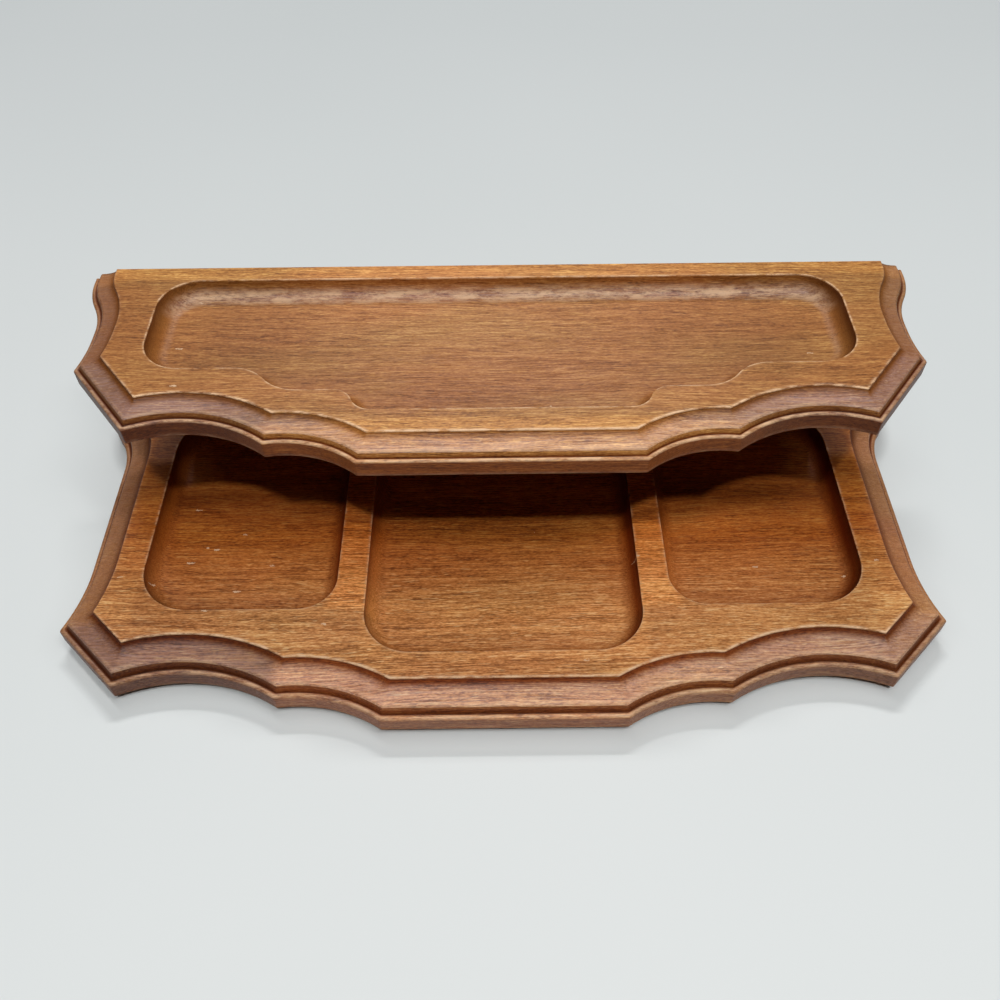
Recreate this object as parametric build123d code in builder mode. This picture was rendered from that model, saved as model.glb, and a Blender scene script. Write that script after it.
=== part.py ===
from build123d import *

import math
import os
from dataclasses import dataclass

# Two-tier wooden valet tray: a broad base tray with three routed pockets, and a shallower
# upper tray with one pocket, held above its rear half by a plain panel along the back.
# X runs left to right, Y from the front to the back, Z up. The origin is on the table,
# under the middle of the whole object. Both boards end in one plane at the back.

# Base board, half widths from the middle and setbacks from its own front
base_depth = 174.0
base_thickness = 16.0
base_half_width = 180.0
base_side_corner_setback = 41.6
base_corner_cut_width = 26.6
base_corner_cut_depth = 26.0
base_inner_cusp_x = 47.6
base_outer_cusp_x = 88.8
base_outer_cusp_setback = 9.7
base_inner_scallop_depth = 3.9
base_outer_scallop_depth = 8.2
base_waist_depth = 6.0
base_waist_front_share = 0.235
base_waist_rear_share = 0.673
base_lobe_reach = 8.0
base_moulding_width = 13.3
base_moulding_height = 8.7

# Upper board, measured in the same way, its side corners set in from the base's
upper_depth = 109.3
upper_thickness = 12.7
upper_side_inset = 10.8
upper_side_corner_setback = 50.8
upper_corner_cut_width = 26.4
upper_corner_cut_depth = 33.3
upper_inner_cusp_x = 53.6
upper_outer_cusp_x = 88.8
upper_outer_cusp_setback = 9.9
upper_inner_scallop_depth = 4.2
upper_outer_scallop_depth = 7.8
upper_waist_depth = 2.5
upper_waist_front_share = 0.333
upper_waist_rear_share = 0.416
upper_lobe_reach = 5.7
upper_moulding_width = 10.6
upper_moulding_height = 5.6

# Both boards
lobe_crest_margin = 3.0

# Edge moulding, as shares of its width and height, from the top face outwards and down
fillet_drop_share = 0.05
ridge_inset_share = 0.29
ridge_drop_share = 0.51
step_inset_share = 0.20
side_drop_share = 1.06
bead_crest_inset_share = 0.10
bead_crest_drop_share = 0.90
bead_facets = 3
cove_facets = 6

# Pockets, with margins from the boards' waists and backs
pocket_depth = 8.5
pocket_cove_radius = 7.0
middle_pocket_half_width = 55.8
middle_pocket_setback = 25.0
middle_pocket_corner_radius = 19.0
pocket_divider_width = 12.2
side_pocket_margin = 25.4
side_pocket_setback = 45.6
side_pocket_inner_radius = 15.0
side_pocket_outer_radius = 21.5
base_pocket_rear_margin = 19.0
upper_pocket_margin = 24.7
upper_pocket_setback = 22.4
upper_pocket_rear_margin = 9.0
upper_pocket_corner_radius = 16.5
inner_step_share = 0.384
inner_step_width = 4.4
inner_step_depth = 11.0
inner_step_radius = 8.2
outer_step_share = 0.607
outer_step_width = 10.6
outer_step_depth = 12.6
outer_step_radius = 16.5

# Rear panel, which carries the upper tray
panel_height = 58.0
panel_thickness = 12.7
panel_end_margin = 16.7

# Dowels between the rear panel and the upper tray
dowel_diameter = 6.0
dowel_length = 16.0
dowel_rear_margin = 4.6
dowel_end_margin = 21.0
dowel_count = 4
dowel_chamfer = 0.6

# Wood screws up through the base into the rear panel
screw_shank_diameter = 4.2
screw_head_diameter = 8.4
screw_head_angle = 90.0
screw_length = 38.0
screw_point_length = 5.0
screw_slot_width = 1.1
screw_slot_depth = 1.2
screw_end_margin = 42.0
screw_count = 4
screw_head_sink = 0.4

# Felt pads under the base
pad_diameter = 19.0
pad_thickness = 4.0
front_pad_margin = 28.0
front_pad_setback = 40.0
rear_pad_margin = 14.0
rear_pad_rear_margin = 19.0

# Clearances round and beyond the fixings, and the overrun of every cut
pin_clearance = 0.15
hole_end_room = 0.5
overrun = 6.0

# Worked-out places
base_front_y = -base_depth / 2
rear_y = base_depth / 2
upper_front_y = rear_y - upper_depth
upper_half_width = base_half_width - upper_side_inset
base_waist_x = base_half_width - base_waist_depth
upper_waist_x = upper_half_width - upper_waist_depth
base_bottom_z = pad_thickness
base_top_z = base_bottom_z + base_thickness
upper_bottom_z = base_top_z + panel_height
upper_top_z = upper_bottom_z + upper_thickness
panel_half_length = upper_waist_x - panel_end_margin
panel_y = rear_y - panel_thickness / 2

os.makedirs("parts", exist_ok=True)


@dataclass
class TrayOutline:
    """The right half of one board's outline, and the moulding round it."""

    depth: float
    half_width: float
    side_corner_setback: float
    corner_cut_width: float
    corner_cut_depth: float
    inner_cusp_x: float
    outer_cusp_x: float
    outer_cusp_setback: float
    inner_scallop_depth: float
    outer_scallop_depth: float
    waist_depth: float
    waist_front_share: float
    waist_rear_share: float
    lobe_reach: float
    moulding_width: float
    moulding_height: float

    def corners(self):
        """The named corners of the right half, from the front middle round to the back."""
        front = rear_y - self.depth
        side_corner = front + self.side_corner_setback
        lobe = rear_y - lobe_crest_margin
        waist_x = self.half_width - self.waist_depth
        lobe_x = self.half_width + self.lobe_reach
        waist_rear = side_corner + self.waist_rear_share * (lobe - side_corner)
        return {
            "front": (0, front),
            "inner_cusp": (self.inner_cusp_x, front),
            "outer_cusp": (self.outer_cusp_x, front + self.outer_cusp_setback),
            "front_corner": (
                self.half_width - self.corner_cut_width,
                side_corner - self.corner_cut_depth,
            ),
            "side_corner": (self.half_width, side_corner),
            "waist_front": (
                waist_x,
                side_corner + self.waist_front_share * (lobe - side_corner),
            ),
            "waist_rear": (waist_x, waist_rear),
            "flare": ((waist_x + lobe_x) / 2, (waist_rear + lobe) / 2),
            "lobe": (lobe_x, lobe),
        }


base_outline = TrayOutline(
    depth=base_depth,
    half_width=base_half_width,
    side_corner_setback=base_side_corner_setback,
    corner_cut_width=base_corner_cut_width,
    corner_cut_depth=base_corner_cut_depth,
    inner_cusp_x=base_inner_cusp_x,
    outer_cusp_x=base_outer_cusp_x,
    outer_cusp_setback=base_outer_cusp_setback,
    inner_scallop_depth=base_inner_scallop_depth,
    outer_scallop_depth=base_outer_scallop_depth,
    waist_depth=base_waist_depth,
    waist_front_share=base_waist_front_share,
    waist_rear_share=base_waist_rear_share,
    lobe_reach=base_lobe_reach,
    moulding_width=base_moulding_width,
    moulding_height=base_moulding_height,
)

upper_outline = TrayOutline(
    depth=upper_depth,
    half_width=upper_half_width,
    side_corner_setback=upper_side_corner_setback,
    corner_cut_width=upper_corner_cut_width,
    corner_cut_depth=upper_corner_cut_depth,
    inner_cusp_x=upper_inner_cusp_x,
    outer_cusp_x=upper_outer_cusp_x,
    outer_cusp_setback=upper_outer_cusp_setback,
    inner_scallop_depth=upper_inner_scallop_depth,
    outer_scallop_depth=upper_outer_scallop_depth,
    waist_depth=upper_waist_depth,
    waist_front_share=upper_waist_front_share,
    waist_rear_share=upper_waist_rear_share,
    lobe_reach=upper_lobe_reach,
    moulding_width=upper_moulding_width,
    moulding_height=upper_moulding_height,
)


def side_sagitta(start, end):
    """The sagitta of an arc from start to end whose start or end runs parallel to Y."""
    run_x = abs(end[0] - start[0])
    run_y = abs(end[1] - start[1])
    chord = math.hypot(run_x, run_y)
    return chord / 2 * math.tan(math.atan2(run_x, run_y) / 2)


def mirrored(points):
    """The points of a right half, then the same points on the left in reverse order."""
    return points + [(-x, y) for x, y in reversed(points)]


def side_edges(outline):
    """The side, from its front corner over the waist and the flare to the rear lobe."""
    c = outline.corners()
    inward = side_sagitta(c["side_corner"], c["waist_front"])
    flare = side_sagitta(c["waist_rear"], c["flare"])
    return [
        SagittaArc(c["side_corner"], c["waist_front"], inward).edge(),
        Line(c["waist_front"], c["waist_rear"]).edge(),
        SagittaArc(c["waist_rear"], c["flare"], flare).edge(),
        SagittaArc(c["flare"], c["lobe"], -flare).edge(),
    ]


def front_edges(outline):
    """The front from its middle to the side corner: straight, two scallops, corner cut."""
    c = outline.corners()
    return [
        Line(c["front"], c["inner_cusp"]).edge(),
        SagittaArc(c["inner_cusp"], c["outer_cusp"], outline.inner_scallop_depth).edge(),
        SagittaArc(c["outer_cusp"], c["front_corner"], outline.outer_scallop_depth).edge(),
        Line(c["front_corner"], c["side_corner"]).edge(),
    ]


def board_section(outline, inset, z):
    """The board's outline at height z, drawn in by inset and carried on past the back."""
    half = front_edges(outline) + side_edges(outline)
    lobe = outline.corners()["lobe"]
    behind = rear_y + outline.moulding_width + overrun
    with BuildSketch(Plane.XY.offset(z)) as level:
        with BuildLine():
            add(half)
            Line(lobe, (lobe[0], behind))
            Line((lobe[0], behind), (0, behind))
            mirror(about=Plane.YZ)
        make_face()
        if inset > 0:
            offset(amount=-inset, mode=Mode.REPLACE)
    return level.sketch


def bead_levels(outline, top_z):
    """Insets and heights of the plain side and the bead over it, from the side upwards."""
    width = outline.moulding_width
    height = outline.moulding_height
    side_drop = side_drop_share * height
    rise = side_drop - bead_crest_drop_share * height
    reach = bead_crest_inset_share * width
    levels = []
    for step in range(bead_facets + 1):
        angle = math.pi / 2 * step / bead_facets
        levels.append((
            reach * (1 - math.cos(angle)),
            top_z - side_drop + rise * math.sin(angle),
        ))
    return levels


def cove_levels(outline, top_z):
    """Insets and heights of the step, the ridge, the cove and the fillet over it."""
    width = outline.moulding_width
    height = outline.moulding_height
    ridge_inset = ridge_inset_share * width
    ridge_drop = ridge_drop_share * height
    run = width - ridge_inset
    rise = ridge_drop - fillet_drop_share * height
    levels = [(step_inset_share * width, top_z - bead_crest_drop_share * height)]
    for step in range(cove_facets + 1):
        angle = math.pi / 2 * step / cove_facets
        levels.append((
            ridge_inset + run * math.sin(angle),
            top_z - ridge_drop + rise * (1 - math.cos(angle)),
        ))
    levels.append((width, top_z))
    return levels


def stacked(outline, levels):
    """A solid that follows the outline up through the given insets and heights."""
    sections = [board_section(outline, inset, z) for inset, z in levels]
    with BuildPart() as stack:
        for section in sections:
            add(section)
        loft(ruled=True)
    return stack.part


def moulded_board(outline, bottom_z, thickness):
    """One board with the moulding round its front and sides; its back is sawn plain."""
    top_z = bottom_z + thickness
    lower = stacked(outline, [(0, bottom_z)] + bead_levels(outline, top_z))
    upper = stacked(outline, cove_levels(outline, top_z))
    with BuildPart() as board:
        add(lower)
        add(upper)
        split(bisect_by=Plane.XZ.offset(-rear_y), keep=Keep.TOP)
    return board.part


def pocket_waste(points, radii, top_z):
    """The wood that a pocket's cutter takes out, rounded where the wall meets the floor."""
    floor_z = top_z - pocket_depth
    with BuildPart() as waste:
        with BuildSketch(Plane.XY.offset(floor_z)):
            with BuildLine():
                FilletPolyline(*points, radius=radii, close=True)
            make_face()
        extrude(amount=pocket_depth + overrun)
        fillet(waste.faces().sort_by(Axis.Z)[0].edges(), radius=pocket_cove_radius)
    return waste.part


def panel_row(count, end_margin):
    """A row of places along the rear panel, the outer ones end_margin from its ends."""
    spacing = 2 * (panel_half_length - end_margin) / (count - 1)
    return GridLocations(spacing, 0, count, 1)


# Base tray, with its three pockets and the countersunk holes for the screws
base_pocket_rear_y = rear_y - base_pocket_rear_margin
side_pocket_front_y = base_front_y + side_pocket_setback
side_pocket_inner_x = middle_pocket_half_width + pocket_divider_width
side_pocket_outer_x = base_waist_x - side_pocket_margin
middle_pocket = mirrored([
    (middle_pocket_half_width, base_front_y + middle_pocket_setback),
    (middle_pocket_half_width, base_pocket_rear_y),
])
side_pocket = [
    (side_pocket_inner_x, side_pocket_front_y),
    (side_pocket_outer_x, side_pocket_front_y),
    (side_pocket_outer_x, base_pocket_rear_y),
    (side_pocket_inner_x, base_pocket_rear_y),
]
side_pocket_radii = [
    side_pocket_inner_radius,
    side_pocket_outer_radius,
    side_pocket_outer_radius,
    side_pocket_inner_radius,
]
base_pockets = [
    (middle_pocket, [middle_pocket_corner_radius] * len(middle_pocket)),
    (side_pocket, side_pocket_radii),
    ([(-x, y) for x, y in side_pocket], side_pocket_radii),
]
screw_head_height = (screw_head_diameter - screw_shank_diameter) / 2 / math.tan(
    math.radians(screw_head_angle / 2)
)
under_screws = Plane(origin=(0, panel_y, base_bottom_z), z_dir=(0, 0, -1))

base_board = moulded_board(base_outline, base_bottom_z, base_thickness)
base_waste = [pocket_waste(points, radii, base_top_z) for points, radii in base_pockets]

with BuildPart() as base_tray:
    add(base_board)
    add(base_waste, mode=Mode.SUBTRACT)
    with Locations(under_screws):
        with panel_row(screw_count, screw_end_margin):
            CounterSinkHole(
                radius=screw_shank_diameter / 2 + pin_clearance,
                counter_sink_radius=screw_head_diameter / 2 + screw_head_sink + pin_clearance,
                depth=base_thickness,
                counter_sink_angle=screw_head_angle,
            )
base_tray.part.label = "base_tray"
export_step(base_tray.part, "parts/base_tray.step")

# Upper tray, with one wide pocket and the blind holes for the dowels
upper_pocket_half_width = upper_waist_x - upper_pocket_margin
upper_pocket_front_y = upper_front_y + upper_pocket_setback
inner_step_x = inner_step_share * upper_pocket_half_width
outer_step_x = outer_step_share * upper_pocket_half_width
inner_step_y = upper_pocket_front_y + inner_step_depth
outer_step_y = inner_step_y + outer_step_depth
upper_pocket = mirrored([
    (inner_step_x, upper_pocket_front_y),
    (inner_step_x + inner_step_width, inner_step_y),
    (outer_step_x, inner_step_y),
    (outer_step_x + outer_step_width, outer_step_y),
    (upper_pocket_half_width, outer_step_y),
    (upper_pocket_half_width, rear_y - upper_pocket_rear_margin),
])
upper_half_radii = [
    inner_step_radius,
    inner_step_radius,
    outer_step_radius,
    outer_step_radius,
    upper_pocket_corner_radius,
    upper_pocket_corner_radius,
]
upper_pocket_radii = upper_half_radii + upper_half_radii[::-1]
dowel_reach = dowel_length / 2 + hole_end_room
over_dowels = Plane(origin=(0, rear_y - dowel_rear_margin, upper_bottom_z))

upper_board = moulded_board(upper_outline, upper_bottom_z, upper_thickness)
upper_waste = pocket_waste(upper_pocket, upper_pocket_radii, upper_top_z)

with BuildPart() as upper_tray:
    add(upper_board)
    add(upper_waste, mode=Mode.SUBTRACT)
    with BuildSketch(over_dowels):
        with panel_row(dowel_count, dowel_end_margin):
            Circle(dowel_diameter / 2 + pin_clearance)
    extrude(amount=dowel_reach, mode=Mode.SUBTRACT)
upper_tray.part.label = "upper_tray"
export_step(upper_tray.part, "parts/upper_tray.step")

# Rear panel, standing on the base's rear margin under the back of the upper tray
screw_reach = screw_length + screw_head_sink - base_thickness + hole_end_room

with BuildPart() as rear_panel:
    with BuildSketch(Plane(origin=(0, panel_y, base_top_z))):
        Rectangle(2 * panel_half_length, panel_thickness)
    extrude(amount=panel_height)
    with BuildSketch(over_dowels):
        with panel_row(dowel_count, dowel_end_margin):
            Circle(dowel_diameter / 2 + pin_clearance)
    extrude(amount=-dowel_reach, mode=Mode.SUBTRACT)
    with BuildSketch(Plane(origin=(0, panel_y, base_top_z))):
        with panel_row(screw_count, screw_end_margin):
            Circle(screw_shank_diameter / 2 + pin_clearance)
    extrude(amount=screw_reach, mode=Mode.SUBTRACT)
rear_panel.part.label = "rear_panel"
export_step(rear_panel.part, "parts/rear_panel.step")

# Dowels, half in the rear panel and half in the upper tray
with BuildPart() as panel_dowels:
    with BuildSketch(over_dowels.offset(-dowel_length / 2)):
        with panel_row(dowel_count, dowel_end_margin):
            Circle(dowel_diameter / 2)
    extrude(amount=dowel_length)
    ends = panel_dowels.edges().filter_by(GeomType.CIRCLE)
    chamfer(ends, length=dowel_chamfer)
panel_dowels.part.label = "panel_dowels"
export_step(panel_dowels.part, "parts/panel_dowels.step")

# Slotted countersunk screws, driven from below with their heads just under the surface
screw_head_z = base_bottom_z + screw_head_sink


def screw():
    """One screw with its head down, standing on the origin."""
    with BuildPart() as one:
        with BuildSketch(Plane.XZ):
            with BuildLine():
                Polyline(
                    (0, 0),
                    (screw_head_diameter / 2, 0),
                    (screw_shank_diameter / 2, screw_head_height),
                    (screw_shank_diameter / 2, screw_length - screw_point_length),
                    (0, screw_length),
                    close=True,
                )
            make_face()
        revolve(axis=Axis.Z)
        with BuildSketch(Plane.XY):
            Rectangle(screw_head_diameter, screw_slot_width)
        extrude(amount=screw_slot_depth, mode=Mode.SUBTRACT)
    return one.part


one_screw = screw()
with BuildPart(Plane(origin=(0, panel_y, screw_head_z))) as panel_screws:
    with panel_row(screw_count, screw_end_margin):
        add(one_screw)
panel_screws.part.label = "panel_screws"
export_step(panel_screws.part, "parts/panel_screws.step")

# Felt pads, stuck flat under the base near its four corners
front_pad_x = base_waist_x - front_pad_margin
front_pad_y = base_front_y + front_pad_setback
rear_pad_x = base_waist_x - rear_pad_margin
rear_pad_y = rear_y - rear_pad_rear_margin
pad_places = {
    "felt_pad_front_left": (-front_pad_x, front_pad_y),
    "felt_pad_front_right": (front_pad_x, front_pad_y),
    "felt_pad_rear_left": (-rear_pad_x, rear_pad_y),
    "felt_pad_rear_right": (rear_pad_x, rear_pad_y),
}
for pad_name, (pad_x, pad_y) in pad_places.items():
    with BuildPart() as felt_pad:
        with BuildSketch(Plane(origin=(pad_x, pad_y, 0))):
            Circle(pad_diameter / 2)
        extrude(amount=pad_thickness)
    felt_pad.part.label = pad_name
    export_step(felt_pad.part, f"parts/{pad_name}.step")
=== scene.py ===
import math
import random

import bmesh
import bpy
from mathutils import Matrix, Vector


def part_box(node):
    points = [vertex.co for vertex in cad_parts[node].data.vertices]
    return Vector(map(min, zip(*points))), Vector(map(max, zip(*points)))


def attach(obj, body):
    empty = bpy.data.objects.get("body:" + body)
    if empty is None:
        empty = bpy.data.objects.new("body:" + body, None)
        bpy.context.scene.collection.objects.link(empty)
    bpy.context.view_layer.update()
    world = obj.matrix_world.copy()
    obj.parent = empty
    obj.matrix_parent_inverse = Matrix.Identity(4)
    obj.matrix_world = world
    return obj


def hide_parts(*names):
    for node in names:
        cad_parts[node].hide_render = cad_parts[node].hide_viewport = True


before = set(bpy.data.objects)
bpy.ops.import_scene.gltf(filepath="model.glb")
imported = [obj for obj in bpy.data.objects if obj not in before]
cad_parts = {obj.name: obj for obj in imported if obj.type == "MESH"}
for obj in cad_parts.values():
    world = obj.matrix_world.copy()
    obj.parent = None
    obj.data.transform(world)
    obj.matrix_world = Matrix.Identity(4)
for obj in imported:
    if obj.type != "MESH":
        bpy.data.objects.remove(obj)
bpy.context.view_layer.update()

# A two-tier wooden valet tray. Lengths are in millimetres here, in the frame of the packed
# model: X to the right, Y to the back, Z up, with the origin on the table.
MM = 0.001
random.seed(11)

# How finely the outlines are drawn, and how far their cusps are worn
SAMPLE_STEP = 2.4
CORNER_ROUNDING = 0.5
CUSP_TIP_SHARE = 0.45

# Rows this far from a worn arris keep its marks narrow
GUARD, WIDE_GUARD = 0.45, 1.125

# The sawn back of both boards
REAR_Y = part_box("base_tray")[1].y / MM

# A board's lengths are those of its CAD outline: depths, half widths, and setbacks from its
# front. Its moulding is a width and a height, and the floor ring is the inset of a pocket's
# last row. The rest are shares for the wood's colour: what the mesh marks as worn, as stained
# (on the coves and the pocket walls partly painted shade) or with painted sheen, how much
# painted shade fills the groove, and how much painted shade darkens the left and the right
# scallop, the left and the right corner, and the bead.
BASE = {
    "node": "base_tray",
    "depth": 174.0, "half_width": 180.0, "side_corner": 41.6, "corner_cut": (26.6, 26.0),
    "inner_cusp_x": 47.6, "outer_cusp": (88.8, 9.7), "scallops": (3.9, 8.2),
    "waist_depth": 6.0, "waist": (72.0, 128.7), "lobe_reach": 8.0, "lobe_margin": 3.0,
    "moulding": (13.3, 8.7), "floor_ring": 13.5,
    "cove_stain_and_shade": 1.0, "side_stain": 0.65, "side_painted_sheen": 0.35, "groove_shade": 0.5,
    "riser_stain": 0.7, "bead_wear": 0.6, "shades": (0.6, 0.25, 0.65, 0.25, 0.45),
    "wall_stain_and_shade": 0.9, "wall_painted_sheen": 0.0, "rim_wear": 0.5,
}
UPPER = {
    "node": "upper_tray",
    "depth": 109.3, "half_width": 169.2, "side_corner": 50.8, "corner_cut": (26.4, 33.3),
    "inner_cusp_x": 53.6, "outer_cusp": (88.8, 9.9), "scallops": (4.2, 7.8),
    "waist_depth": 2.5, "waist": (69.3, 73.9), "lobe_reach": 5.7, "lobe_margin": 3.0,
    "moulding": (10.6, 5.6), "floor_ring": 7.9,
    "cove_stain_and_shade": 0.5, "side_stain": 0.9, "side_painted_sheen": 0.0, "groove_shade": 0.25,
    "riser_stain": 0.12, "bead_wear": 0.95, "shades": (0.3, 0.1, 0.4, 0.2, 0.2),
    "wall_stain_and_shade": 0.35, "wall_painted_sheen": 0.8, "rim_wear": 0.85,
}
PLAIN = (0.0, 0.0, 0.0)


# ---------------------------------------------------------------- outlines

# Two stretches whose directions agree this well (a cosine) meet without a corner, and a sharp
# corner is found in this many steps
SMOOTH_JOINT = 0.9995
CORNER_STEPS = 8


class Line:
    """A straight stretch of an outline; its wood lies on the left of its direction."""

    def __init__(self, start, end):
        self.start, self.end = Vector(start), Vector(end)
        along = (self.end - self.start).normalized()
        self.inward = Vector((-along.y, along.x))

    def depth_of(self, point):
        return (point - self.start).dot(self.inward)

    def inward_at(self, point):
        return self.inward

    def between(self, start, end, count):
        return [start.lerp(end, i / count) for i in range(count + 1)]

    def length(self):
        return (self.end - self.start).length


class Arc:
    """A curved stretch; a positive rise bows it into the wood, a negative one outwards."""

    def __init__(self, start, end, rise):
        self.start, self.end = Vector(start), Vector(end)
        chord = self.end - self.start
        left = Vector((-chord.y, chord.x)).normalized()
        self.radius = (chord.length_squared / 4 + rise * rise) / (2 * abs(rise))
        self.turn = -1 if rise > 0 else 1
        middle = (self.start + self.end) / 2
        self.centre = middle + left * self.turn * (self.radius - abs(rise))

    def depth_of(self, point):
        return self.turn * (self.radius - (point - self.centre).length)

    def inward_at(self, point):
        return -self.turn * (point - self.centre).normalized()

    def between(self, start, end, count):
        first, last = start - self.centre, end - self.centre
        sweep = math.atan2(first.x * last.y - first.y * last.x, first.dot(last))
        return [
            self.centre + Matrix.Rotation(sweep * i / count, 2) @ first
            for i in range(count + 1)
        ]

    def length(self):
        return self.radius * 2 * math.asin((self.end - self.start).length / 2 / self.radius)


def side_rise(start, end):
    """The rise of an arc whose start or end runs straight towards the back."""
    run = end - start
    return run.length / 2 * math.tan(math.atan2(abs(run.x), abs(run.y)) / 2)


def half_outline(board):
    """The right half of a board's outline, from the front's middle to the back."""
    front_y = REAR_Y - board["depth"]
    waist_x = board["half_width"] - board["waist_depth"]
    lobe_x = board["half_width"] + board["lobe_reach"]
    lobe_y = REAR_Y - board["lobe_margin"]
    cut_x, cut_y = board["corner_cut"]
    waist_start, waist_end = (front_y + setback for setback in board["waist"])
    corners = [Vector(c) for c in (
        (0, front_y),
        (board["inner_cusp_x"], front_y),
        (board["outer_cusp"][0], front_y + board["outer_cusp"][1]),
        (board["half_width"] - cut_x, front_y + board["side_corner"] - cut_y),
        (board["half_width"], front_y + board["side_corner"]),
        (waist_x, waist_start),
        (waist_x, waist_end),
        ((waist_x + lobe_x) / 2, (waist_end + lobe_y) / 2),
        (lobe_x, lobe_y),
        (lobe_x, REAR_Y),
    )]
    flare = side_rise(corners[6], corners[7])
    return [
        Line(corners[0], corners[1]),
        Arc(corners[1], corners[2], board["scallops"][0]),
        Arc(corners[2], corners[3], board["scallops"][1]),
        Line(corners[3], corners[4]),
        Arc(corners[4], corners[5], side_rise(corners[4], corners[5])),
        Line(corners[5], corners[6]),
        Arc(corners[6], corners[7], flare),
        Arc(corners[7], corners[8], -flare),
        Line(corners[8], corners[9]),
    ]


def inset_corner(before, after, inset):
    """The point that lies inset deep under both stretches, at the corner they share, and
    whether it is sharp."""
    point = before.end.copy()
    first, second = before.inward_at(point), after.inward_at(point)
    if first.dot(second) > SMOOTH_JOINT:
        return point + inset * first, False
    point += inset * (first + second) / (1 + first.dot(second))
    for _ in range(CORNER_STEPS):
        first, second = before.inward_at(point), after.inward_at(point)
        miss = Vector((inset - before.depth_of(point), inset - after.depth_of(point)))
        point += Matrix((first, second)).inverted() @ miss
    return point, True


def inset_loop(stretches, inset, rounding):
    """Points along the half outline, drawn in by inset, with its cusps slightly worn."""
    starts = [stretches[0].start + inset * stretches[0].inward_at(stretches[0].start)]
    sharp = [False]
    for before, after in zip(stretches, stretches[1:]):
        corner, is_sharp = inset_corner(before, after, inset)
        starts.append(corner)
        sharp.append(is_sharp)
    last = stretches[-1]
    starts.append(last.end + inset * last.inward_at(last.end))
    sharp.append(False)
    points = []
    for i, stretch in enumerate(stretches):
        count = max(2, round(stretch.length() / SAMPLE_STEP))
        run = stretch.between(starts[i], starts[i + 1], count)
        if sharp[i]:
            run[0:1] = [run[0].lerp(run[1], rounding / SAMPLE_STEP)]
        if sharp[i + 1]:
            tip = run[-1]
            run[-1] = tip.lerp(run[-2], rounding / SAMPLE_STEP)
            run.append(tip.lerp(run[-1], CUSP_TIP_SHARE))
        points += run if not points or sharp[i] else run[1:]
    return points


def whole_loop(half):
    """The left half, mirrored and reversed, and then the right half."""
    return [Vector((-p.x, p.y)) for p in reversed(half[1:])] + half


# ---------------------------------------------------------------- moulding

# Shares of the moulding's width and height
RIDGE_SHARES = (0.285, 0.50)
RISER_TOP_SHARES = (0.265, 0.60)
SIDE_TOP_SHARE = 1.06
NOSE_SHARE = 0.08
COVE_END_SHARE = 0.06
# The bead and the groove, with their shares of the wear and of the painted shade in the
# groove, and the stain
BEAD_SHARES = ((0.012, 0.985, 0.5), (0.04, 0.925, 1.0), (0.085, 0.90, 1.0), (0.12, 0.91, 0.25))
GROOVE_SHARES = ((0.165, 0.97, 1.0, 1.0), (0.185, 0.97, 1.0, 1.0), (0.20, 0.90, 0.5, 0.9))
BEAD_START_SHARES = (0.0, 1.05)
BEAD_BACK_SHARES = (0.145, 0.93)
BEAD_END_SHARE = 0.13
RISER_FOOT_SHARES = (0.215, 0.84)
RISER_FOOT_STAIN = 0.3
# The cove is a quarter round; its stain, partly painted shade, and its painted sheen change
# between these angles
COVE_STEPS = 16
COVE_STAIN_AND_SHADE_ANGLES = (33, 65)
COVE_PAINTED_SHEEN_ANGLES = (36, 60)
# Millimetres
FOOT_ROUNDING = 0.5
FOOT_HEIGHT = 2.0
SIDE_TOP_MARGIN = 0.6
ARRIS_ROUNDING = 0.4
# Marks: the wear (with painted light), the stain (with painted shade) and the painted sheen
FOOT_WEAR, FOOT_PAINTED_SHEEN = 0.2, 0.1
BEAD_PAINTED_SHEEN = 0.6
BEAD_BACK_MARKS = (0.0, 0.6, 0.3)
NOSE_MARKS = (0.35, 0.0, 1.0)
ARRIS_MARKS = (1.4, 0.0, 0.2)
BY_ARRIS_MARKS = (0.4, 0.0, 0.0)


def rounded(corner, before, after, radius, steps=3):
    """Points of a small arc that softens the profile's corner."""
    corner, before, after = Vector(corner), Vector(before), Vector(after)
    start = corner + (before - corner).normalized() * radius
    end = corner + (after - corner).normalized() * radius
    return [
        start.lerp(corner, t).lerp(corner.lerp(end, t), t)
        for t in (i / steps for i in range(steps + 1))
    ]


def share_between(value, low, high):
    return min(1.0, max(0.0, (value - low) / (high - low)))


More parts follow.
